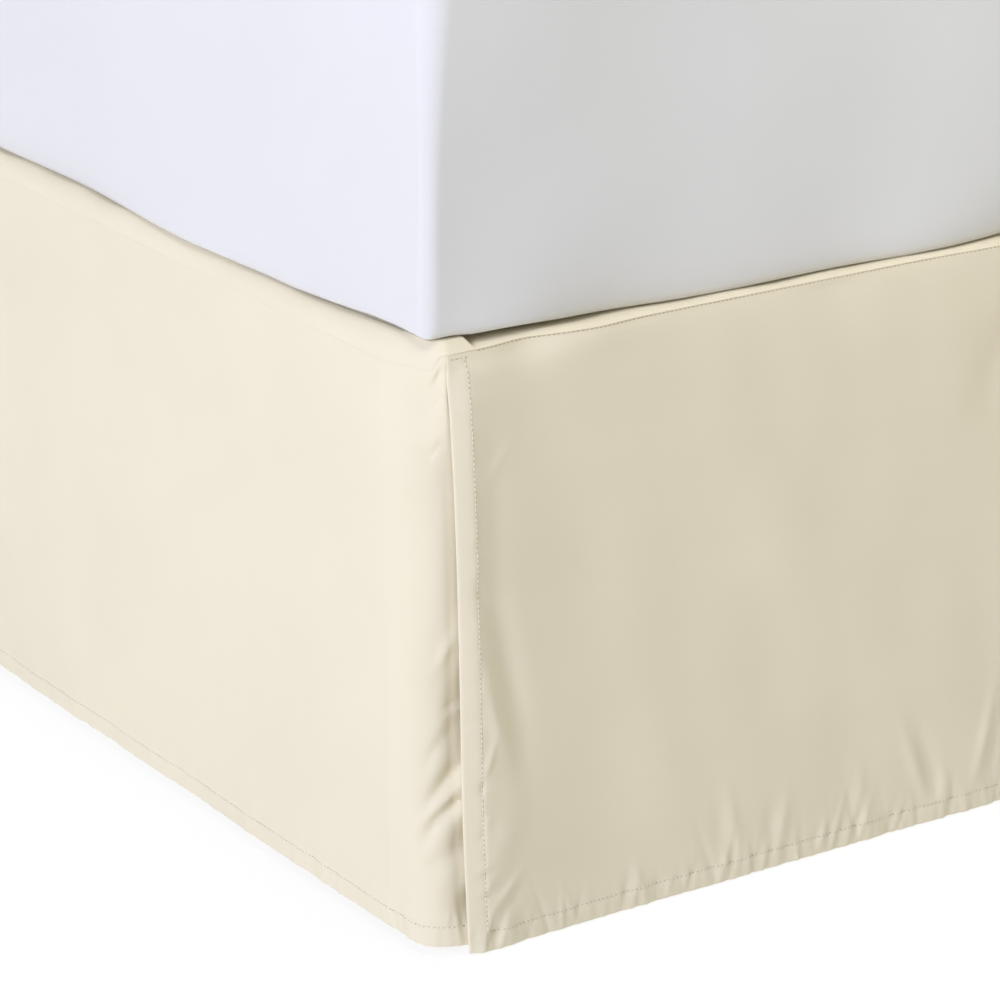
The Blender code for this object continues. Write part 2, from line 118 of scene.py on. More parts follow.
RIGHT_FOLDS = (
    (0.14, 0.06, 0.002, 0.45, 0.45, -0.06), (0.36, 0.085, -0.0026, 0.6, 0.45, 0.08),
    (0.6, 0.095, 0.003, 0.55, 0.5, -0.11), (0.86, 0.085, -0.0028, 0.6, 0.45, 0.07),
    (1.11, 0.1, 0.0032, 0.6, 0.5, 0.1), (1.39, 0.085, -0.003, 0.55, 0.45, -0.09),
    (1.64, 0.09, 0.0026, 0.6, 0.45, 0.06), (1.88, 0.06, -0.0022, 0.6, 0.4, -0.05),
)

# ------ small creases, placed one by one
# a row is: metres from the left corner on the foot panel, or past where the corner's round begins
# on a side panel; metres above the hem; degrees from level; half length; half width; depth outwards
LEFT_CREASES = (
    (0.0505, 0.366, 90, 0.012, 0.0036, -0.0032), (0.04, 0.378, 8, 0.007, 0.003, -0.0008),
    (0.036, 0.362, -6, 0.009, 0.0034, -0.001), (0.038, 0.332, -12, 0.011, 0.0036, -0.0008),
    (0.059, 0.3, 88, 0.05, 0.009, -0.0036), (0.063, 0.236, 86, 0.036, 0.011, -0.0052),
    (0.048, 0.196, 62, 0.012, 0.0042, 0.0016), (0.065, 0.17, 78, 0.029, 0.0115, -0.0078),
    (0.056, 0.154, 10, 0.009, 0.003, 0.0012), (0.064, 0.136, 70, 0.018, 0.011, -0.0056),
    (0.044, 0.133, 48, 0.016, 0.005, -0.0014), (0.05, 0.108, 46, 0.018, 0.0062, -0.005),
    (0.047, 0.0965, 44, 0.015, 0.0036, 0.0026), (0.05, 0.088, 44, 0.015, 0.0044, -0.0038),
    (0.059, 0.095, 4, 0.006, 0.0016, -0.0016), (0.039, 0.078, 66, 0.014, 0.005, -0.0018),
    (0.063, 0.07, 70, 0.018, 0.009, -0.0056), (0.043, 0.056, 40, 0.01, 0.006, -0.0016),
    (0.052, 0.048, 60, 0.012, 0.005, 0.001), (0.065, 0.028, 82, 0.014, 0.008, -0.0056),
    (0.05, 0.017, 78, 0.005, 0.0016, 0.0008), (0.056, 0.0175, 96, 0.005, 0.0016, 0.0008),
)
RIGHT_CREASES = (
    (0.043, 0.35, -24, 0.012, 0.004, -0.0014), (0.05, 0.18, -60, 0.018, 0.007, -0.0034),
    (0.052, 0.095, -46, 0.016, 0.0065, -0.0036), (0.05, 0.082, -44, 0.013, 0.004, 0.002),
    (0.056, 0.05, -84, 0.024, 0.008, -0.0026),
)
FOOT_CREASES = (
    (0.027, 0.158, 20, 0.008, 0.0022, -0.001), (0.03, 0.212, 30, 0.006, 0.003, 0.0006),
    (0.04, 0.246, 130, 0.006, 0.003, -0.0009), (0.048, 0.17, 100, 0.022, 0.0048, 0.001),
    (0.056, 0.148, 112, 0.018, 0.007, 0.0016), (0.061, 0.19, 102, 0.056, 0.0105, -0.0044),
    (0.052, 0.29, 94, 0.06, 0.01, -0.001), (0.0462, 0.133, 72, 0.012, 0.0026, 0.0014),
    (0.0415, 0.116, 70, 0.005, 0.0022, -0.001), (0.0445, 0.088, 58, 0.006, 0.0026, 0.001),
    (0.0415, 0.083, 60, 0.005, 0.002, -0.001), (0.056, 0.072, 66, 0.024, 0.012, 0.0014),
    (0.044, 0.054, 20, 0.006, 0.0018, -0.001), (0.045, 0.045, 22, 0.006, 0.0018, 0.0009),
    (0.045, 0.0375, 16, 0.006, 0.0018, -0.001), (0.058, 0.036, 44, 0.015, 0.003, 0.0012),
    (0.064, 0.029, 44, 0.013, 0.004, -0.0009), (0.05, 0.01, 88, 0.008, 0.005, -0.0028),
    (0.054, 0.33, 50, 0.012, 0.004, 0.0005), (0.478, 0.345, 60, 0.06, 0.014, -0.0014),
    (0.245, 0.04, 104, 0.024, 0.005, 0.0011), (0.233, 0.034, 98, 0.018, 0.0055, -0.0008),
    (0.287, 0.032, 84, 0.016, 0.0048, 0.0012), (0.276, 0.03, 92, 0.015, 0.005, -0.0008),
    (0.356, 0.034, 100, 0.018, 0.006, 0.0012), (0.402, 0.046, 112, 0.028, 0.0052, 0.0013),
    (0.415, 0.044, 112, 0.026, 0.0062, -0.0013), (0.43, 0.022, 96, 0.012, 0.004, 0.0012),
    (0.464, 0.05, 76, 0.03, 0.0046, 0.0014), (0.476, 0.044, 78, 0.026, 0.006, -0.0013),
)
# how the foot seam wanders: metres from the left corner, half width, outwards
SEAM_WANDER = (
    (0.078, 0.02, -0.0042), (0.132, 0.026, 0.0028), (0.46, 0.04, 0.0028), (0.9, 0.05, 0.0025),
    (1.33, 0.045, -0.0025),
)
SEAM_WANDER_DEPTH = 0.015
FOOT_PUFF = 0.003          # how far the foot panel swells out under its seam, near the corner
FOOT_PUFF_DEPTH = (-0.001, 0.015)
FOOT_PUFF_FADE = 0.16
FOOT_PUFF_REACH = 0.12
FOOT_PUFF_EDGE = 0.35      # its share at the free edge, and where it grows from that to the whole
FOOT_PUFF_GROWS = (0.018, 0.036)
HEM_STEP = 0.0009          # how far the foot panel drops back beside its left hem, and how soon
HEM_STEP_WIDTH = 0.0015
HEM_STEP_REACH = 0.022
HEM_STEP_UP = (0.1, 0.16)
RELIEF_START = (0.0, 0.015)  # parts of the drop over which the small relief grows
END_THIN = 0.025           # part of the drop under the seam where the foot panel's ends are thin

# ------ mattress and deck
# rings of the mattress, from its flat underside up: height, inset from its outline, plan radius
MATTRESS_RINGS = (
    (0.0, 0.0036, 0.005), (0.001, 0.0018, 0.006), (0.003, 0.0006, 0.008), (0.008, 0.0, 0.01),
    (0.032, -0.0005, 0.012), (0.08, -0.001, 0.012), (0.15, -0.0015, 0.013), (0.215, -0.0005, 0.019),
    (0.243, 0.002, 0.024), (0.258, 0.008, 0.032), (0.268, 0.02, 0.042), (0.2735, 0.042, 0.06),
    (0.2775, 0.12, 0.11), (0.28, 0.32, 0.2), (0.2806, 0.52, 0.15), (0.2808, 0.7, 0.04),
)
# fullness of the mattress's lower edge: distance from the foot corner, outwards, upwards
LEFT_RIM = (
    (0.0, 0.0, 0.0052), (0.03, 0.0, 0.0072), (0.06, 0.0, 0.0066), (0.106, 0.0005, 0.0028),
    (0.15, 0.0018, 0.0), (0.205, 0.0036, 0.0), (0.27, 0.0046, 0.0), (0.41, 0.0004, 0.0),
    (0.56, -0.0042, 0.0), (0.8, 0.002, 0.0), (1.15, -0.002, 0.0), (1.5, 0.003, 0.0),
    (1.85, 0.0, 0.0),
)
FOOT_RIM = (
    (0.0, 0.0, 0.0052), (0.024, 0.001, 0.0062), (0.034, 0.0022, 0.0052), (0.055, 0.0028, 0.0054),
    (0.072, 0.0028, 0.005), (0.09, 0.0022, 0.0038), (0.105, 0.0012, 0.0026),
    (0.145, -0.0004, 0.0012), (0.185, -0.0004, 0.0), (0.223, 0.0004, 0.0), (0.303, 0.0034, 0.0),
    (0.387, 0.0036, 0.0), (0.48, -0.0038, 0.0), (0.7, 0.003, 0.0), (0.95, -0.001, 0.0),
    (1.25, 0.0024, 0.0), (1.45, 0.0, 0.0),
)
# the deck's small lap at a foot corner: its line's two ends, across and back from the corner;
# how high it lies, as back from the corner and height; how softly it starts and ends
DECK_LAP = ((0.038, 0.03), (0.0415, 0.0))
DECK_LAP_HEIGHTS = ((0.0, 0.004), (0.03, 0.0058), (0.06, 0.0053), (0.106, 0.0018), (0.15, 0.0))
DECK_LAP_SIDE = (-0.0025, 0.0005)
DECK_LAP_END = (-0.006, 0.002)
# how far the foot seam's allowance lifts the deck's rim, and where: back from the seam and across
SEAM_RIDGE = 0.0016
SEAM_RIDGE_RISE = (0.0, 0.004)
SEAM_RIDGE_FALL = (0.006, 0.011)
SEAM_RIDGE_ACROSS = (0.044, 0.052)
RIGHT_RIM_SHIFT = 0.1      # the right side has the left rim the other way round, moved by this
MATTRESS_RIM_REACH = 0.03
TOP_WAVE = 0.0008          # unevenness of its top, and how fast it turns in radians per metre
TOP_WAVE_TURN = 9
MATTRESS_BULGE = 0.0015    # its sides stand this far past its outline at most
MATTRESS_CREASES = (
    (-0.03, 0.02, 30, 0.02, 0.006, -0.0012), (0.03, 0.018, -25, 0.022, 0.006, -0.001),
)

# ------ foundation and legs
BASE_CORNER = 0.04
# levels of the foundation: height over its underside, or below its top if negative, and inset
FOUNDATION_LEVELS = (
    (0.0, 0.005), (0.0004, 0.0031), (0.0015, 0.0015), (0.0031, 0.0004), (0.005, 0.0), (0.011, 0.0),
    (0.0118, 0.0008), (0.0126, 0.0), (0.04, -0.0004), (0.08, -0.0008), (0.12, -0.001),
    (-0.08, -0.0008), (-0.04, -0.0004), (-0.0246, 0.0), (-0.0238, 0.0008), (-0.023, 0.0),
    (-0.01, 0.0), (-0.0062, 0.0008), (-0.0029, 0.0029), (-0.0008, 0.0062), (-0.0001, 0.01),
)
LEG_TAPER = 0.792          # a leg's foot is this part of its width, and its taper ends at this
LEG_TAPER_END = 0.93       # part of its height

# ------ mesh density, puckers and stitches
SHOWN_SIDE = 0.6           # how far from the left foot corner the cloth is finest
SHOWN_FOOT = 0.52
SHARP_ANGLE = math.radians(50)
CUT_ROUNDNESS = 0.15
HEM_PUCKER = 0.0013        # height of the puckers that the stitches draw up
SIDE_PUCKER = HEM_PUCKER * 0.7
PUCKER_PITCH = 0.0062
PUCKER_REACH = 0.01
END_PUCKER_PITCH = 0.007   # at the turned-in ends of a panel
END_PUCKER_REACH = 0.004
END_PUCKER_SHARE = 0.6
END_PUCKER_FADE = 6.0
HEM_GROOVE = (0.0012, 0.0003)  # width and depth
END_GROOVE = (0.0013, 0.00035)
STITCH_PITCH = 0.0034
STITCH_LENGTH = 0.0025
STITCH_RADIUS = 0.00027
PIT_SHADE_RADIUS = 0.00024
PIT_SHADE_OVERLAP = 0.0001       # how far a dark pit of painted shade runs under the stitches beside it
SEAM_SHADE_RADIUS = 0.00022      # radius of the foot seam's thread, drawn as a dark line of painted shade along the seam
SEAM_END = 0.022           # how far from the free edges that thread starts
SEAM_LEVEL = 0.0003        # its part of the drop
# a short run of thread under the seam at the left free edge, drawn dark with painted shade: its ends,
# and its part of the drop
TACK = (0.0012, 0.015)
TACK_LEVEL = 0.0062


# ------ curves and folds
def smoothstep(value, low, high):
    part = np.clip((value - low) / (high - low), 0.0, 1.0)
    return part * part * (3.0 - 2.0 * part)


def fall(value, low, high):
    return 1.0 - smoothstep(value, low, high)


def bell(value, width):
    return np.exp(-(value / width) ** 2)


def relief(along, down, folds):
    total = 0.0
    for at, width, depth, middle, reach, lean in folds:
        centre = at + lean * (down - middle)
        total = total + depth * bell(along - centre, width) * bell(down - middle, reach)
    return total * smoothstep(down, *FOLD_START)


def creases(along, up, table):
    total = 0.0
    for at, above, turn, length, width, depth in table:
        angle = math.radians(turn)
        run = (along - at) * math.cos(angle) + (up - above) * math.sin(angle)
        side = -(along - at) * math.sin(angle) + (up - above) * math.cos(angle)
        total = total + depth * np.exp(-(side / width) ** 2 - (run / length) ** 2)
    return total


def edge_place(down):
    depth = down * DECK_HEIGHT
    curve = EDGE_CURVE * (1.0 - np.exp(-depth / EDGE_CURVE_DEPTH))
    return EDGE_START + curve + EDGE_LEAN * down ** 6


def foot_out(across, down):
    from_corner = np.minimum(across, BED_WIDTH - across)
    depth = down * DECK_HEIGHT
    shoulder = FOOT_SHOULDER * (1.0 - np.exp(-depth / FOOT_SHOULDER_DEPTH))
    middle = shoulder + FOOT_SPREAD * down + relief(across, down, FOOT_FOLDS)
    from_edge = np.maximum(from_corner - edge_place(down), 0.0)
    low_drop = EDGE_DROP * np.clip(1.0 - from_edge / EDGE_DROP_WIDTH, 0.0, 1.0) ** EDGE_DROP_POWER
    return middle - low_drop * smoothstep(down, 0.0, EDGE_DROP_START)


def side_out(along, down, folds):
    depth = down * DECK_HEIGHT
    bulge = SIDE_BULGE * np.sin(np.pi * np.clip(depth / (2 * SIDE_BULGE_DEPTH), 0.0, 1.0))
    return bulge - SIDE_TUCK * down ** 1.6 + relief(along, down, folds)


def corner_path(along):
    side_run = BED_LENGTH - CORNER_RADIUS
    arc = CORNER_RADIUS * math.pi / 2
    turn = np.clip((along - side_run) / CORNER_RADIUS, 0.0, math.pi / 2)
    beyond = np.maximum(along - side_run - arc, 0.0)
    before = np.maximum(side_run - along, 0.0)
    across = CORNER_RADIUS * (1.0 - np.cos(turn)) + beyond
    back = CORNER_RADIUS * (1.0 - np.sin(turn)) + before
    return across, back, turn


def corner_share(turn):
    return smoothstep(turn, *CORNER_SHARE)


def deck_turn(turn):
    return math.pi / 2 * fall(turn, *DECK_TURN_AWAY)


def side_seam_z(turn):
    angle = deck_turn(turn)
    lowest = DECK_HEIGHT - DECK_ROLL * (1.0 - np.cos(angle)) - CLOTH * np.cos(angle)
    return lowest - GAP


def corner_fill(turn, before):
    """How far the deck's edge stands out from the corner's round.

    At its height the cloth runs slanting from the side to the free edge, and meets the foot
    there.  before is the distance back from where the round begins.
    """
    to_side = CORNER_RADIUS / np.maximum(np.cos(turn), 0.05)
    to_slant = SLANT_REACH / np.cos(turn - SLANT_TURN) + before * math.tan(SLANT_TURN)
    to_foot = CORNER_RADIUS / np.maximum(np.sin(turn), 0.05)
    near = sum(np.exp((CORNER_RADIUS - face) / SLANT_SOFTNESS)
               for face in (to_side, to_slant, to_foot))
    return -SLANT_SOFTNESS * np.log(near)


def foot_room(turn):
    """How far back the deck's edge keeps, so that the foot panel stands before it."""
    return (CLOTH + GAP) * smoothstep(turn, *FOOT_ROOM_TURN)


def side_panel_point(along, down, side, folds):
    across, back, turn = corner_path(along)
    flank = side_out(back, down, folds)
    wrap_across = across if side < 0 else BED_WIDTH - across
    hollow = LAP_HOLLOW * bell(down - LAP_HOLLOW_MIDDLE, LAP_HOLLOW_REACH)
    wrap = foot_out(wrap_across, down) - LAP_GAP - hollow
    out = flank + (wrap - flank) * corner_share(turn)
    out = out - (out + foot_room(turn)) * bell(down * DECK_HEIGHT, SEAM_REACH)
    before = np.maximum(BED_LENGTH - CORNER_RADIUS - along, 0.0)
    out = out + corner_fill(turn, before) * fall(down, *SLANT_FADE)
    across = across - out * np.cos(turn)
    back = back - out * np.sin(turn)
    top = side_seam_z(turn)
    z = top + (SIDE_HEM_Z - top) * down
    return np.stack(np.broadcast_arrays(side * (HALF_WIDTH - across), FOOT_Y + back, z), axis=-1)


def seam_wander(across):
    return sum(out * bell(across - at, width) for at, width, out in SEAM_WANDER)


def wandered(across, down):
    """The seam's wander, as it fades down the cloth."""
    return seam_wander(across) * bell(down * DECK_HEIGHT, SEAM_WANDER_DEPTH)


def foot_puff(across, down):
    depth = down * DECK_HEIGHT
    fade = bell(depth, FOOT_PUFF_FADE) * bell(across, FOOT_PUFF_REACH)
    share = FOOT_PUFF_EDGE + (1 - FOOT_PUFF_EDGE) * smoothstep(across, *FOOT_PUFF_GROWS)
    return FOOT_PUFF * smoothstep(depth, *FOOT_PUFF_DEPTH) * fade * share


def foot_panel_point(across, down):
    z = DECK_HEIGHT + (FOOT_HEM_Z - DECK_HEIGHT) * down
    y = FOOT_Y - foot_out(across, down) - wandered(across, down) - foot_puff(across, down)
    return np.stack(np.broadcast_arrays(across - HALF_WIDTH, y, z), axis=-1)


# ------ fine relief
def gathers(along, above, end, seed, pitch, depth, reach):
    """Small puckers that a row of stitches draws up.  above is the distance over the row."""
    draw = np.random.RandomState(seed)
    total = 0.0
    place = 0.0
    while place < end:
        place += pitch * draw.uniform(0.35, 1.65)
        width = draw.uniform(0.0013, 0.0034)
        tall = reach * draw.uniform(0.25, 1.5) * (1.6 if draw.uniform() > 0.8 else 0.8)
        lean = draw.uniform(-0.4, 0.4)
        size = depth * draw.uniform(0.25, 1.0) * (1.0 if draw.uniform() > 0.5 else -1.0)
        size *= 0.85 + 0.15 * math.sin(place * 19.0 + seed)
        fade = np.where(above > 0, np.exp(-(np.maximum(above, 0.0) / tall) ** 1.3), 0.9)
        total = total + size * bell(along - place - lean * above, width) * fade
    return total


def soft_waves(along, up, seed, count=14, longest=0.22, shortest=0.05, height=0.00022):
    """Low unevenness that any pressed cloth keeps."""
    draw = np.random.RandomState(seed)
    total = 0.0
    for _ in range(count):
        length = shortest * (longest / shortest) ** draw.uniform(0, 1)
        angle = draw.uniform(0, math.pi)
        phase = draw.uniform(0, 2 * math.pi)
        run = along * math.cos(angle) + up * math.sin(angle)
        total = total + height * (length / longest) ** 0.5 * np.sin(2 * math.pi * run / length + phase)
    return total


def groove(distance, width, depth):
    return -depth * bell(distance, width)


# ------ meshes
def grid_normals(points):
    """Outward normals of a grid of points round the bed."""
    normals = np.cross(np.gradient(points, axis=0), np.gradient(points, axis=1))
    normals /= np.linalg.norm(normals, axis=-1, keepdims=True)
    middle = (points.shape[0] // 2, points.shape[1] // 2)
    if np.dot(normals[middle], points[middle] - np.array(INSIDE)) < 0:
        normals = -normals
    return normals


def link_mesh(name, vertices, faces, material, sharp=SHARP_ANGLE):
    mesh = bpy.data.meshes.new(name)
    mesh.from_pydata(np.asarray(vertices).tolist(), [], faces)
    mesh.shade_smooth()
    mesh.set_sharp_from_angle(angle=sharp)
    mesh.materials.append(material)
    made = bpy.data.objects.new(name, mesh)
    bpy.context.scene.collection.objects.link(made)
    return made


def grid_faces(row_count, column_count, closed=False):
    """Quads of a grid of points; a closed grid's last column joins its first."""
    index = np.arange(row_count * column_count).reshape(row_count, column_count)
    if closed:
        index = np.concatenate((index, index[:, :1]), axis=1)
    quads = np.stack((index[:-1, :-1], index[:-1, 1:], index[1:, 1:], index[1:, :-1]), axis=-1)
    return quads.reshape(-1, 4)


def add_uv(made, along, up):
    """Cloth coordinates in metres, for the weave."""
    mesh = made.data
    layer = mesh.uv_layers.new(name="cloth")
    index = np.empty(len(mesh.loops), dtype=np.int32)
    mesh.loops.foreach_get("vertex_index", index)
    places = np.column_stack((along, up)).astype(np.float32)
    layer.data.foreach_set("uv", places[index].ravel())


def every_second(count):
    """Indices of a coarser row of places that keeps both ends."""
    return sorted({*range(0, count - 1, 2), count - 1})


def walk(first, last, whole):
    """Places from first towards last: all of them, or only the first."""
    return range(first, last, 1 if last > first else -1) if whole else (first,)


def lining_faces(row_count, column_count, start):
    """Faces of a grid's plain side: half its density, but every point round its edge."""
    rows, columns = every_second(row_count), every_second(column_count)
    faces = []
    for top, bottom in zip(rows, rows[1:]):
        for left, right in zip(columns, columns[1:]):
            corners = [(top, column) for column in walk(left, right, top == 0)]
            corners += [(row, right) for row in walk(top, bottom, right == column_count - 1)]
            corners += [(bottom, column) for column in walk(right, left, bottom == row_count - 1)]
            corners += [(row, left) for row in walk(bottom, top, left == 0)]
            faces.append([start + row * column_count + column for row, column in reversed(corners)])
    return faces


def drop_loose(vertices, faces, *layers):
    """Leaves out the points that no face uses."""
    used = np.zeros(len(vertices), dtype=bool)
    for face in faces:
        used[face] = True
    place = np.cumsum(used) - 1
    faces = [[int(place[index]) for index in face] for face in faces]
    return faces, vertices[used], *(layer[used] for layer in layers)


def edge_run(points, near, away):
    """Unit steps off a grid's edge, from the row or column next to it."""
    step = points[near] - points[away]
    return step / np.linalg.norm(step, axis=-1, keepdims=True)


def sheet_grid(name, outer, thickness, material, along, up):
    """A thin closed sheet under a grid of outer points.

    Its first row is an almost flat cut, and its other edges are round like folded hems.
    """
    normals = grid_normals(outer)
    inner = outer - normals * thickness[..., None]
    row_count, column_count = outer.shape[:2]
    size = row_count * column_count
    index = np.arange(size).reshape(row_count, column_count)
    faces = grid_faces(row_count, column_count).tolist() + lining_faces(row_count, column_count, size)
    rim = np.concatenate((index[0, :-1], index[:-1, -1], index[-1, :0:-1], index[:0:-1, 0]))
    away = np.zeros_like(outer)
    away[0] += CUT_ROUNDNESS * edge_run(outer, 0, 1)
    away[-1] += edge_run(outer, -1, -2)
    away[:, 0] += edge_run(outer, (slice(None), 0), (slice(None), 1))
    away[:, -1] += edge_run(outer, (slice(None), -1), (slice(None), -2))
    flat_outer = outer.reshape(-1, 3)
    flat_inner = inner.reshape(-1, 3)
    reach = away.reshape(-1, 3)[rim] * (thickness.reshape(-1)[rim] / 2)[:, None]
    skins_and_rings = [flat_outer, flat_inner]
    bands = [rim]
    for swing in np.radians((45, 90, 135)):
        share = (1 - math.cos(swing)) / 2
        ring = flat_outer[rim] * (1 - share) + flat_inner[rim] * share + reach * math.sin(swing)
        bands.append(2 * size + (len(bands) - 1) * len(rim) + np.arange(len(rim)))
        skins_and_rings.append(ring)
    bands.append(rim + size)
    for near, far in zip(bands[:-1], bands[1:]):
        faces += np.stack((np.roll(near, -1), near, far, np.roll(far, -1)), axis=-1).tolist()
    places = []
    for values in (along, up):
        flat = np.broadcast_to(values, outer.shape[:2]).reshape(-1)
        places.append(np.concatenate((flat, flat, np.tile(flat[rim], 3))))
    if np.dot(np.cross(outer[0, 1] - outer[0, 0], outer[1, 1] - outer[0, 1]), normals[0, 0]) < 0:
        faces = [face[::-1] for face in faces]
    faces, vertices, *places = drop_loose(np.concatenate(skins_and_rings), faces, *places)
    made = link_mesh(name, vertices, faces, material)
    add_uv(made, *places)
    return made


def spaced(zones):
    """Places from zones of (end, step), starting at 0."""
    places = [0.0]
    for end, step in zones:
        start = places[-1]
        count = max(1, round((end - start) / step))
        places.extend(start + (end - start) * (index + 1) / count for index in range(count))
    return np.array(places)


def grid_place(grid, rows, columns, row, column):
    """Points of a grid at rows and columns between its own."""
    places = []
    for own, wanted in ((rows, row), (columns, column)):
        at = np.interp(wanted, own, np.arange(len(own)))
        low = np.minimum(at.astype(int), len(own) - 2)
        places += [low, (at - low)[:, None]]
    low_row, row_part, low_column, column_part = places
    first, second = (
        grid[line, low_column] * (1 - column_part) + grid[line, low_column + 1] * column_part
        for line in (low_row, low_row + 1))
    return first * (1 - row_part) + second * row_part


# ------ stitches
# stations along a stitch: part of its length, rise and radius, both as parts of its radius
STITCH_STATIONS = ((0.0, -0.9, 0.0), (0.1, 0.1, 0.9), (0.5, 0.7, 1.0), (0.9, 0.1, 0.9), (1.0, -0.9, 0.0))


def stitch_run(surface, rows, columns, row, column, seed, painted_pit_shade=False):
    """Starts, ends and normals of the stitches on a line of a grid, or of the dark pits of painted shade
    between them.
    """
    draw = np.random.RandomState(seed)
    line = grid_place(surface, rows, columns, row, column)
    lengths = np.concatenate(([0.0], np.cumsum(np.linalg.norm(np.diff(line, axis=0), axis=1))))
    count = int(lengths[-1] / STITCH_PITCH)
    starts = (np.arange(count) + 0.2) * STITCH_PITCH + draw.uniform(-0.00015, 0.00015, count)
    ends = starts + STITCH_LENGTH * draw.uniform(0.93, 1.05, count)
    if painted_pit_shade:
        starts, ends = ends[:-1] - PIT_SHADE_OVERLAP, starts[1:] + PIT_SHADE_OVERLAP
    normals = grid_place(grid_normals(surface), rows, columns, row, column)
    pick = [np.stack([np.interp(place, lengths, values[:, axis]) for axis in range(3)], axis=-1)
            for values, place in ((line, starts), (line, ends), (normals, (starts + ends) / 2))]
    pick[2] /= np.linalg.norm(pick[2], axis=-1, keepdims=True)
    return pick


def add_stitches(name, runs, material, radius):
    """One mesh of small rounded stitches, each a bowed thread with closed ends."""
    starts, ends, normals = (np.concatenate(values) for values in zip(*runs))
    tangents = ends - starts
    tangents /= np.linalg.norm(tangents, axis=-1, keepdims=True)
    sides = np.cross(tangents, normals)
    points = []
    for part, rise, fat in STITCH_STATIONS:
        centre = starts + (ends - starts) * part + normals * (rise * radius)
        corners = ((0, 0),) if fat == 0 else ((1, 0), (0, 1), (-1, 0), (0, -1))
        for sideways, upwards in corners:
            offset = (sides * sideways * 1.15 + normals * upwards) * (radius * fat)
            points.append(centre + offset)
    points = np.stack(points, axis=1)
    per_stitch = points.shape[1]
    around = [(side, (side + 1) % 4) for side in range(4)]
    pattern = [(1 + side, 1 + after, 0) for side, after in around]
    for ring in (1, 5):
        pattern += [(ring + 4 + side, ring + 4 + after, ring + after, ring + side)
                    for side, after in around]
    pattern += [(9 + after, 9 + side, 13) for side, after in around]
    faces = [tuple(corner + number * per_stitch for corner in face)
             for number in range(len(points)) for face in pattern]
    made = link_mesh(name, points.reshape(-1, 3), faces, material, math.pi)
    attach(made, "root")
    return made


# ------ materials
IVORY = (0.812, 0.745, 0.552)
THREAD = (0.93, 0.88, 0.76)
# painted shade: the dark colour of the pits between stitches and of the foot seam's line, where the
# ivory cloth only lies in shade
PIT_SHADE_COLOUR = (0.54, 0.45, 0.28)
WARM_WHITE = (0.75, 0.748, 0.715)
GREY = (0.56, 0.54, 0.51)


def new_material(name):
    material = bpy.data.materials.new(name)
    material.use_nodes = True
    return material, material.node_tree, material.node_tree.nodes["Principled BSDF"]


def feed(tree, node, inputs):
    """Sets inputs of a node: a socket is linked, anything else is a value."""
    for name, value in inputs.items():
        if isinstance(value, bpy.types.NodeSocket):
            tree.links.new(value, node.inputs[name])
        else:
            node.inputs[name].default_value = value


def add_node(tree, kind, inputs):
    node = tree.nodes.new("ShaderNode" + kind)
    feed(tree, node, inputs)
    return node


def object_place(tree):
    return add_node(tree, "TexCoord", {}).outputs["Object"]


def add_noise(tree, place, scale, detail):
    inputs = {"Vector": place, "Scale": scale, "Detail": detail}
    return add_node(tree, "TexNoise", inputs).outputs["Fac"]


def add_math(tree, operation, first, second):
    made = add_node(tree, "Math", {0: first, 1: second})
    made.operation = operation
    return made.outputs[0]


def add_ramp(tree, value, stops):
    ramp = add_node(tree, "ValToRGB", {"Fac": value})
    for element, (place, colour) in zip(ramp.color_ramp.elements, stops):
        element.position = place
        element.color = (*colour, 1.0)
    return ramp.outputs["Color"]


def add_roughness(tree, shader, value, roughness, change):
    inputs = {"Value": value, "To Min": roughness - change, "To Max": roughness + change}
    feed(tree, shader, {"Roughness": add_node(tree, "MapRange", inputs).outputs["Result"]})


def add_bump(tree, shader, height, strength, distance):
    inputs = {"Strength": strength, "Distance": distance, "Height": height}
    feed(tree, shader, {"Normal": add_node(tree, "Bump", inputs).outputs["Normal"]})


def woven_material(name, colour, variation, yarn, bump, by_cloth=True):
    """Woven cloth: crossed yarns in relief, faint mottling and soft changes of roughness."""
    material, tree, shader = new_material(name)
    if by_cloth:
        layer = add_node(tree, "UVMap", {})
        layer.uv_map = "cloth"
        place, directions = layer.outputs["UV"], "XY"
    else:
        place, directions = object_place(tree), "XYZ"
    broad = add_noise(tree, place, 7.0, 3.0)
    slubs = add_noise(tree, place, 0.5 / yarn, 2.0)
    mixed = add_math(tree, "ADD", add_math(tree, "MULTIPLY", broad, 0.7),
                     add_math(tree, "MULTIPLY", slubs, 0.3))
    dark = tuple(channel * (1 - variation) for channel in colour)
    light = tuple(min(1.0, channel * (1 + variation)) for channel in colour)
    height = slubs
    yarns = {"Vector": place, "Scale": math.pi / 10 / yarn, "Distortion": 0.5}
    for direction in directions:
        wave = add_node(tree, "TexWave", yarns)
        wave.bands_direction = direction
        height = add_math(tree, "ADD", height, wave.outputs["Fac"])
    feed(tree, shader, {
        "Base Color": add_ramp(tree, mixed, ((0.36, dark), (0.64, light))),
        "Sheen Weight": 0.1, "Sheen Roughness": 0.5, "Specular IOR Level": 0.25})
    add_roughness(tree, shader, slubs, 0.8, 0.06)
    add_bump(tree, shader, height, bump, yarn * 0.3)
    return material


def wood_material(name):
    material, tree, shader = new_material(name)
    stretch = add_node(tree, "Mapping", {"Vector": object_place(tree), "Scale": (60.0, 60.0, 5.0)})
    grain = add_noise(tree, stretch.outputs["Vector"], 2.0, 8.0)
    tones = ((0.3, (0.05, 0.034, 0.024)), (0.75, (0.145, 0.1, 0.068)))
    feed(tree, shader, {"Base Color": add_ramp(tree, grain, tones)})
    add_roughness(tree, shader, grain, 0.42, 0.1)
    add_bump(tree, shader, grain, 0.25, 0.0004)
    return material


def thread_material(name, colour):
    material, tree, shader = new_material(name)
    twist = add_noise(tree, object_place(tree), 2500.0, 2.0)
    dark = tuple(channel * 0.93 for channel in colour)
    feed(tree, shader, {"Base Color": add_ramp(tree, twist, ((0.3, dark), (0.7, colour)))})
    add_roughness(tree, shader, twist, 0.55, 0.08)
    return material


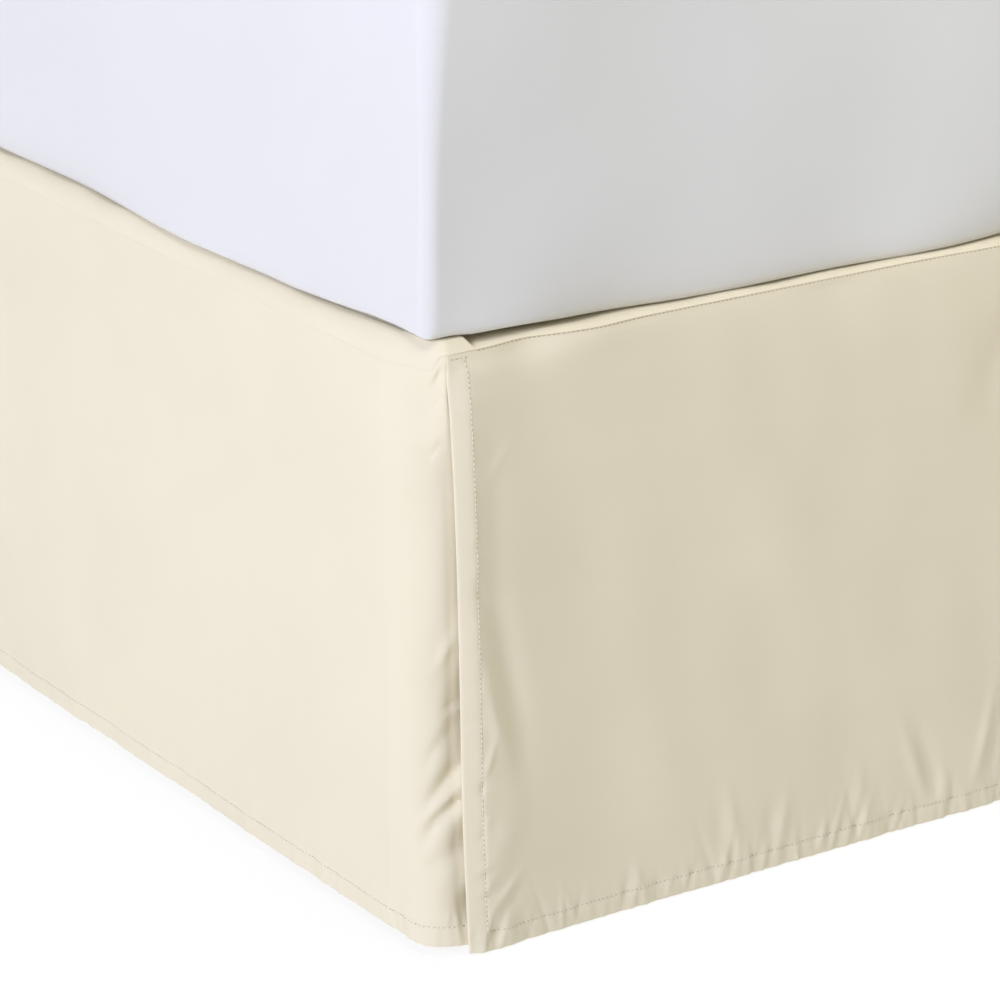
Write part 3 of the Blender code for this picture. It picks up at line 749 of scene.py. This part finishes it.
# ------ drop panels
INSIDE = (0.0, 0.0, DECK_HEIGHT / 2)
DROP = DECK_HEIGHT - FOOT_HEM_Z
SIDE_RUN = BED_LENGTH - CORNER_RADIUS
ARC_END = SIDE_RUN + CORNER_RADIUS * math.pi / 2
SIDE_FULL = ARC_END + WRAP_LENGTH - CORNER_RADIUS
FOOT_SPAN = BED_WIDTH - 2 * EDGE_START


def drop_rows():
    """Parts of the drop, closest at the seam and in the hem."""
    stitches = DROP - HEM_WIDTH
    places = spaced(((0.006, 0.001), (0.075, 0.002), (0.2, 0.0034), (stitches - 0.06, 0.003),
                     (stitches - 0.002, 0.002), (stitches + 0.002, 0.0007), (DROP, 0.0015)))
    return places / DROP


def hem_profile(up, from_end):
    """Thickness of a panel, which is more where a hem is turned up."""
    turned_up, turned_in = (fall(place, HEM_WIDTH, HEM_WIDTH + HEM_EDGE) for place in (up, from_end))
    return CLOTH + (HEM_CLOTH - CLOTH) * np.maximum(turned_up, turned_in)


def hem_relief(along, up, from_start, from_end, length, seed, depth):
    """Puckers and grooves at the stitches of the hem and of both turned-in ends."""
    lift = gathers(along, up - HEM_WIDTH, length, seed, PUCKER_PITCH, depth, PUCKER_REACH)
    lift = lift + groove(up - HEM_WIDTH, *HEM_GROOVE)
    for step, distance in ((1, from_start), (2, from_end)):
        drawn = gathers(up, distance - HEM_WIDTH, DECK_HEIGHT, seed + step, END_PUCKER_PITCH,
                        depth * END_PUCKER_SHARE, END_PUCKER_REACH)
        to_edge = np.minimum(distance, HEM_WIDTH) / HEM_WIDTH - 1
        lift = lift + drawn * np.exp(-to_edge ** 2 * END_PUCKER_FADE)
        lift = lift + groove(distance - HEM_WIDTH, *END_GROOVE)
    return lift


def hem_stitches(name, outer, rows, columns, length, row_of_hem, thread_and_shade, seed):
    """Thread along the hem and up both turned-in ends, and dark pits of painted shade between its
    stitches.
    """
    level = np.linspace(HEM_WIDTH, length - HEM_WIDTH, 900)
    upright = np.linspace(0.004, row_of_hem, 200)
    lines = [(np.full_like(level, row_of_hem), level, seed)]
    lines += [(upright, np.full_like(upright, place), seed + 1)
              for place in (HEM_WIDTH, length - HEM_WIDTH)]
    # the second kind is dark pits of painted shade between the stitches
    kinds = ((name, False, STITCH_RADIUS), (name + "_painted_pit_shade", True, PIT_SHADE_RADIUS))
    for (kind, painted_pit_shade, radius), thread in zip(kinds, thread_and_shade):
        runs = [stitch_run(outer, rows, columns, *line, painted_pit_shade) for line in lines]
        add_stitches(kind, runs, thread, radius)


def make_foot_panel(cloth, thread_and_shade):
    rows = drop_rows()
    columns = spaced(((0.01, 0.0014), (0.014, 0.0008), (0.1, 0.0018), (SHOWN_FOOT, 0.0023),
                      (FOOT_SPAN - 0.1, 0.008), (FOOT_SPAN - 0.014, 0.0034), (FOOT_SPAN, 0.0014)))
    down = rows[:, None]
    from_left = columns[None, :]
    from_right = FOOT_SPAN - from_left
    edge = edge_place(down)
    across = edge + from_left / FOOT_SPAN * (BED_WIDTH - 2 * edge)
    up = (1.0 - down) * DROP
    base = foot_panel_point(across, down)
    lift = creases(across, up, FOOT_CREASES) + soft_waves(across, up, 11)
    lift = lift + hem_relief(across, up, from_left, from_right, BED_WIDTH, 21, HEM_PUCKER)
    beside = np.maximum(from_left - HEM_WIDTH, 0.0)
    step = HEM_STEP * (1.0 - np.exp(-beside / HEM_STEP_WIDTH)) * np.exp(-beside / HEM_STEP_REACH)
    lift = (lift - step * smoothstep(up, *HEM_STEP_UP)) * smoothstep(down, *RELIEF_START)
    outer = base + grid_normals(base) * lift[..., None]
    from_end = np.minimum(from_left, from_right) + 0.03 * np.exp(-down / END_THIN)
    panel = sheet_grid("skirt_foot", outer, hem_profile(up, from_end), cloth, across, up)
    hem_stitches("stitches_foot", outer, rows, columns, FOOT_SPAN, 1 - HEM_WIDTH / DROP, thread_and_shade, 61)
    # the seam's thread and the tack are drawn in the painted-shade colour, a dark line standing for the
    # shade in the seam
    seam = np.linspace(SEAM_END, FOOT_SPAN - SEAM_END, 900)
    tack = np.linspace(*TACK, 40)
    runs = [stitch_run(outer, rows, columns, np.full_like(line, row), line, 77)
            for line, row in ((seam, SEAM_LEVEL), (tack, TACK_LEVEL))]
    add_stitches("seam_foot_painted_shade", runs, thread_and_shade[1], SEAM_SHADE_RADIUS)
    return panel


def make_side_panel(name, side, folds, table, cloth, thread_and_shade, seed):
    rows = drop_rows()
    columns = spaced(((0.016, 0.0016), (SIDE_RUN - SHOWN_SIDE, 0.0095), (SIDE_RUN - 0.1, 0.0042),
                      (SIDE_RUN - 0.01, 0.0024), (ARC_END, 0.0014), (SIDE_FULL - 0.016, 0.0042),
                      (SIDE_FULL, 0.0016)))
    down = rows[:, None]
    along = columns[None, :]
    drop = DECK_HEIGHT - DECK_ROLL - SIDE_HEM_Z
    up = (1.0 - down) * drop
    base = side_panel_point(along, down, side, folds)
    wrap_across, _, turn = corner_path(along)
    behind_foot = wrap_across if side < 0 else BED_WIDTH - wrap_across
    keeps_back = np.minimum(wandered(behind_foot, down), 0.0)
    base[..., 1] -= keeps_back * smoothstep(turn, *FOOT_ROOM_TURN)
    behind = np.minimum(creases(behind_foot, up, FOOT_CREASES), 0.0)
    lift = creases(along - SIDE_RUN, up, table) + soft_waves(along, up, seed)
    lift = lift + behind * smoothstep(turn, *BEHIND_FOOT_TURN)
    lift = lift + hem_relief(along, up, along, SIDE_FULL - along, SIDE_FULL, seed, SIDE_PUCKER)
    lift = lift * smoothstep(down, *RELIEF_START)
    outer = base + grid_normals(base) * lift[..., None]
    under_edge = CLOTH * np.cos(deck_turn(turn)) * fall(turn, *FOOT_ROOM_TURN)
    outer[..., 2] += (GAP - SEAM_SLIT + under_edge) * fall(down, 0.0, 0.01)
    thickness = hem_profile(up, np.minimum(along, SIDE_FULL - along))
    panel = sheet_grid("skirt_" + name, outer, thickness, cloth, along, up)
    hem_stitches("stitches_" + name, outer, rows, columns, SIDE_FULL, 1 - HEM_WIDTH / drop, thread_and_shade,
                 seed + 5)
    return panel


# ------ deck
SEAM_SLIT = 0.0001         # what shows of the gap between the deck and a side panel
DECK_RIM_INSETS = (0.0015, 0.004, 0.007, 0.01, 0.014, 0.018, 0.022, 0.027, 0.032, 0.036)
DECK_FADE = (0.026, 0.04)


def mirrored_rim(rows):
    """Turns corner distances into places, and adds the other half of the bed's outline."""
    left = rows.copy()
    left[..., 0] = rows[..., 0] - HALF_WIDTH
    left[..., 1] = rows[..., 1] + FOOT_Y
    right = left[:, -2::-1].copy()
    right[..., 0] = -right[..., 0]
    return np.concatenate((left, right), axis=1)


def lap_lift(across, back):
    """How far the deck's small lap lifts it at a foot corner, and past the lap the foot seam."""
    (start_x, start_y), (end_x, end_y) = DECK_LAP
    length = math.hypot(end_x - start_x, end_y - start_y)
    run_x, run_y = (end_x - start_x) / length, (end_y - start_y) / length
    beside = (across - start_x) * run_y - (back - start_y) * run_x
    along = (across - start_x) * run_x + (back - start_y) * run_y
    height = np.interp(back, *zip(*DECK_LAP_HEIGHTS))
    on_lap = smoothstep(beside, *DECK_LAP_SIDE)
    ridge = SEAM_RIDGE * smoothstep(back, *SEAM_RIDGE_RISE) * fall(back, *SEAM_RIDGE_FALL)
    ridge = ridge * smoothstep(across, *SEAM_RIDGE_ACROSS)
    return height * on_lap * fall(along - length, *DECK_LAP_END) + ridge * (1 - on_lap)


def deck_skin(half, part, inset, depth):
    """One line of the deck's skin along its edge: part of the roll, then inset from it."""
    across, back, turn = corner_path(half)
    angle = deck_turn(turn)
    before = np.maximum(SIDE_RUN - half, 0.0)
    start = foot_room(turn) - seam_wander(across) * smoothstep(turn, *FOOT_ROOM_TURN)
    full = start + DECK_ROLL
    start = start - corner_fill(turn, before) * (1.0 - inset / DECK_RIM_INSETS[-1])
    swing = angle * (1.0 - part)
    flat = full - DECK_ROLL * swing
    inwards = start + DECK_ROLL * (np.sin(angle) - np.sin(swing) + (1 - np.sin(angle)) * part)
    inwards = inwards + depth * np.sin(swing) + inset * (1.0 - full / CORNER_RADIUS)
    place_x = across + inwards * np.cos(turn)
    place_y = back + inwards * np.sin(turn)
    z = DECK_HEIGHT - DECK_ROLL * (1.0 - np.cos(swing)) - depth * np.cos(swing)
    relief_here = lap_lift(place_x, place_y) + soft_waves(place_x, place_y, 71)
    z = z + relief_here * fall(inwards, *DECK_FADE) * part
    points = np.column_stack((place_x, place_y, z))
    return points, np.column_stack((across + flat * np.cos(turn), back + flat * np.sin(turn)))


def make_deck(cloth):
    """The flat sheet under the mattress, turned down over both sides and level at the foot."""
    half = spaced(((SIDE_RUN - SHOWN_SIDE, 0.012), (SIDE_RUN - 0.05, 0.004), (ARC_END, 0.0016),
                   (ARC_END + SHOWN_FOOT, 0.003), (ARC_END + HALF_WIDTH - CORNER_RADIUS, 0.01)))
    roll_steps = 8
    levels = [(step / roll_steps, 0.0) for step in range(roll_steps + 1)]
    levels += [(1.0, inset) for inset in DECK_RIM_INSETS]
    skins = []
    for depth in (0.0, CLOTH):
        lines, places = zip(*(deck_skin(half, part, inset, depth) for part, inset in levels))
        skins.append(mirrored_rim(np.array(lines)))
    plan = mirrored_rim(np.concatenate((places, np.zeros_like(places)[..., :1]), axis=-1))
    row_count, column_count = skins[0].shape[:2]
    size = row_count * column_count
    middle = np.arange(size - column_count, size)
    rim = np.concatenate((np.arange(column_count), np.arange(2, row_count + 1) * column_count - 1,
                          np.arange(row_count - 1, 0, -1) * column_count))
    quads = grid_faces(row_count, column_count)
    faces = quads.tolist() + (quads[:, ::-1] + size).tolist()
    faces += np.stack((np.roll(rim, -1), rim, rim + size, np.roll(rim, -1) + size), axis=-1).tolist()
    vertices = np.concatenate([skin.reshape(-1, 3) for skin in skins])
    faces += [middle[::-1].tolist(), (middle + size).tolist()]
    made = link_mesh("deck_cloth", vertices, faces, cloth)
    flat = plan.reshape(-1, 3)
    add_uv(made, np.tile(flat[:, 0], 2), np.tile(flat[:, 1], 2))
    return made


# ------ mattress, foundation and legs
def smooth_rows(table, steps):
    """More rows of a table, on a smooth curve through its own."""
    rows = np.array(table)
    ends = np.concatenate((2 * rows[:1] - rows[1:2], rows, 2 * rows[-1:] - rows[-2:-1]))
    finer = []
    for before, start, end, after in zip(ends[:-3], ends[1:-2], ends[2:-1], ends[3:]):
        for part in np.arange(steps) / steps:
            finer.append(start + 0.5 * part * (end - before + part * (
                2 * before - 5 * start + 4 * end - after + part * (3 * (start - end) + after - before))))
    return np.array(finer + [rows[-1]])


def outline(half_x, low_y, high_y, radius, arc_steps, side_places, end_places):
    """Points of a rounded rectangle, anticlockwise from its left foot corner, and their outward
    directions.  side_places says how the left side is divided and end_places the foot end.
    """
    corners = ((-half_x + radius, low_y + radius, 180), (half_x - radius, low_y + radius, 270),
               (half_x - radius, high_y - radius, 0), (-half_x + radius, high_y - radius, 90))
    runs = (end_places, 1 - side_places[::-1], 1 - end_places[::-1], side_places)
    points = []
    directions = []
    for index, (x, y, start) in enumerate(corners):
        angles = np.radians(np.linspace(start, start + 90, arc_steps + 1))
        away = np.stack((np.cos(angles), np.sin(angles)), axis=-1)
        arc = np.array((x, y)) + radius * away
        next_x, next_y, _ = corners[(index + 1) % 4]
        target = np.array((next_x, next_y)) + radius * away[-1]
        run = arc[-1] + (target - arc[-1]) * runs[index][1:-1, None]
        points += [arc, run]
        directions += [away, np.repeat(away[-1:], len(run), axis=0)]
    return np.concatenate(points), np.concatenate(directions)


def rim_row(place, table):
    rows = np.array(table)
    return [np.interp(place, rows[:, 0], rows[:, column]) for column in (1, 2)]


def add_ring_solid(name, rings, material, sharp=SHARP_ANGLE):
    """A closed solid through rings from the lowest up, each anticlockwise seen from above."""
    grid = np.array(rings)
    row_count, column_count = grid.shape[:2]
    bottom = np.arange(column_count)
    faces = grid_faces(row_count, column_count, closed=True).tolist()
    faces += [bottom[::-1].tolist(), (bottom + (row_count - 1) * column_count).tolist()]
    return link_mesh(name, grid.reshape(-1, 3), faces, material, sharp)


def make_mattress(material):
    half_x = mattress_high.x - MATTRESS_BULGE
    low_y, high_y = mattress_low.y + MATTRESS_BULGE, mattress_high.y - MATTRESS_BULGE
    side_places = 1 - spaced(((0.3, 0.0035), (0.45, 0.006), (1.0, 0.014)))[::-1]
    end_places = spaced(((0.36, 0.0045), (1.0, 0.012)))
    rings = []
    for height, inset, radius in smooth_rows(MATTRESS_RINGS, 6):
        plan, away = outline(half_x - inset, low_y + inset, high_y - inset, radius, 22,
                             side_places, end_places)
        from_left = plan[:, 0] + half_x
        from_foot = plan[:, 1] - low_y
        low = math.exp(-(height / MATTRESS_RIM_REACH) ** 2)
        at_foot = np.clip(-away[:, 1], 0, 1) ** 2
        at_side = away[:, 0] ** 2
        place = np.where(plan[:, 0] < 0, from_foot, BED_LENGTH - RIGHT_RIM_SHIFT - from_foot)
        side_out_up = rim_row(place, LEFT_RIM)
        foot_out_up = rim_row(from_left, FOOT_RIM)
        out, up = (side * at_side + foot * at_foot for side, foot in zip(side_out_up, foot_out_up))
        round_it = np.where(at_foot > 0.5, from_left, -from_foot)
        out = out * low + creases(round_it, height, MATTRESS_CREASES)
        out = out + soft_waves(plan[:, 0] * 1.3 + plan[:, 1], height, 91, 16, 0.4, 0.09, 0.0006)
        moved = plan + away * out[:, None]
        wave = TOP_WAVE * np.sin(plan[:, 0] * TOP_WAVE_TURN) * smoothstep(inset, 0.03, 0.3)
        z = mattress_low.z + height + up * low + wave
        rings.append(np.column_stack((moved, z)))
    return add_ring_solid("mattress_cover", rings, material)


def make_foundation(material):
    low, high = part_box("base")
    rings = []
    side_places = spaced(((1.0, 0.02),))
    for height, inset in FOUNDATION_LEVELS:
        z = low.z + height if height >= 0 else high.z + height
        plan, away = outline(high.x - inset, low.y + inset, high.y - inset, BASE_CORNER - inset, 10,
                             side_places, side_places)
        bulge = soft_waves(plan[:, 0] - plan[:, 1], z, 95, 10, 0.5, 0.12, 0.0005)
        rings.append(np.column_stack((plan + away * bulge[:, None], np.full(len(plan), z))))
    return add_ring_solid("foundation_cover", rings, material)


def make_leg(number, material):
    low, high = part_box(f"leg_{number}")
    centre = (low + high) / 2
    radius = (high.x - low.x) / 2
    foot_radius = radius * LEG_TAPER
    angles = np.linspace(0, 2 * math.pi, 48, endpoint=False)
    circle = np.column_stack((np.cos(angles), np.sin(angles)))
    height = high.z - low.z
    levels = [(0.0, foot_radius - 0.002), (0.0006, foot_radius - 0.0008), (0.002, foot_radius)]
    levels += [(height * part, foot_radius + (radius - foot_radius) * part / LEG_TAPER_END)
               for part in (0.2, 0.4, 0.6, 0.8, LEG_TAPER_END)]
    levels += [(height, radius)]
    rings = [np.column_stack((circle * size + np.array((centre.x, centre.y)),
                              np.full(len(circle), low.z + level))) for level, size in levels]
    return add_ring_solid(f"bed_leg_{number}", rings, material, math.radians(40))


# ------ camera, light, floor
CORNER = Vector((-HALF_WIDTH, FOOT_Y, 0.0))
EYE = CORNER + Vector((-1.35349, -1.99241, 1.20593))
VIEW_AZIMUTH = math.radians(-35.3433)
VIEW_PITCH = math.radians(20.2607)
VIEW_ROLL = math.radians(1.0264)
LENS = 150.02
FLOOR_COLOUR = (0.12, 0.12, 0.12)
FLOOR_GLOW = 0.86
FLOOR_Z = -0.0002
FLOOR_REACH = 40.0
WORLD_STRENGTH = 0.04
WORLD_COLOUR = (1.0, 0.97, 0.9)
# name, place, target, size, watts, colour
LIGHTS = (
    ("key", (-5.5, -2.25, 2.8), (-0.6, -0.8, 0.3), 2.0, 270, (0.765, 0.786, 1.0)),
    ("top", (0.0, -1.0, 6.0), (0.0, -0.8, 0.0), 4.0, 250, (1.0, 0.977, 0.895)),
    ("near", (-0.08, -1.78, 0.85), (-0.2, -1.0, 0.3), 0.6, 1.8, (1.0, 0.983, 0.954)),
)


def add_camera():
    data = bpy.data.cameras.new("camera")
    data.lens = LENS
    data.clip_start = 0.05
    data.clip_end = 90.0
    camera = bpy.data.objects.new("camera", data)
    forward = Vector((-math.sin(VIEW_AZIMUTH) * math.cos(VIEW_PITCH),
                      math.cos(VIEW_AZIMUTH) * math.cos(VIEW_PITCH), -math.sin(VIEW_PITCH)))
    level = Vector((math.cos(VIEW_AZIMUTH), math.sin(VIEW_AZIMUTH), 0.0))
    upright = level.cross(forward)
    right = level * math.cos(VIEW_ROLL) + upright * math.sin(VIEW_ROLL)
    up = upright * math.cos(VIEW_ROLL) - level * math.sin(VIEW_ROLL)
    turned = Matrix((right, up, -forward)).transposed().to_4x4()
    turned.translation = EYE
    camera.matrix_world = turned
    bpy.context.scene.collection.objects.link(camera)
    bpy.context.scene.camera = camera


def add_area(name, place, target, size, power, colour):
    data = bpy.data.lights.new(name, "AREA")
    data.shape = "SQUARE"
    data.size = size
    data.energy = power
    data.color = colour
    light = bpy.data.objects.new(name, data)
    light.location = place
    light.rotation_mode = "QUATERNION"
    light.rotation_quaternion = (Vector(target) - Vector(place)).to_track_quat("-Z", "Y")
    bpy.context.scene.collection.objects.link(light)


def add_world():
    world = bpy.data.worlds.new("studio")
    world.use_nodes = True
    tree = world.node_tree
    feed(tree, tree.nodes["Background"], {"Color": (*WORLD_COLOUR, 1.0), "Strength": WORLD_STRENGTH})
    bpy.context.scene.world = world


def add_floor():
    mesh = bpy.data.meshes.new("floor")
    corners = ((-1, -1), (1, -1), (1, 1), (-1, 1))
    mesh.from_pydata([(FLOOR_REACH * x, FLOOR_REACH * y, 0) for x, y in corners], [], [(0, 1, 2, 3)])
    material, tree, shader = new_material("floor_white")
    feed(tree, shader, {"Base Color": (*FLOOR_COLOUR, 1.0), "Roughness": 0.9,
                        "Emission Color": (1.0, 1.0, 1.0, 1.0), "Emission Strength": FLOOR_GLOW})
    mesh.materials.append(material)
    floor = bpy.data.objects.new("floor", mesh)
    floor.location.z = FLOOR_Z
    bpy.context.scene.collection.objects.link(floor)


# ------ putting it together
def stand_for(piece, cad_node):
    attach(piece, "root")
    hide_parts(cad_node)


def main():
    bpy.context.scene.view_settings.view_transform = "Standard"
    cloth = woven_material("skirt_weave", IVORY, 0.015, 0.00045, 0.1)
    # the second material is painted shade, for the pits and the foot seam's line
    thread_and_shade = (thread_material("skirt_thread", THREAD), thread_material("skirt_painted_pit_shade", PIT_SHADE_COLOUR))
    foot = make_foot_panel(cloth, thread_and_shade)
    left = make_side_panel("left", -1, LEFT_FOLDS, LEFT_CREASES, cloth, thread_and_shade, 41)
    right = make_side_panel("right", 1, RIGHT_FOLDS, RIGHT_CREASES, cloth, thread_and_shade, 51)
    deck = make_deck(cloth)
    for piece, cad_node in ((foot, "drop_foot"), (left, "drop_left"), (right, "drop_right")):
        stand_for(piece, cad_node)
    stand_for(deck, "deck")

    mattress = make_mattress(woven_material("mattress_weave", WARM_WHITE, 0.012, 0.0006, 0.1, False))
    stand_for(mattress, "mattress")
    foundation = make_foundation(woven_material("base_weave", GREY, 0.06, 0.0012, 0.5, False))
    stand_for(foundation, "base")
    wood = wood_material("leg_wood_grain")
    for number in range(1, 7):
        stand_for(make_leg(number, wood), f"leg_{number}")

    add_floor()
    add_camera()
    add_world()
    for light in LIGHTS:
        add_area(*light)


main()
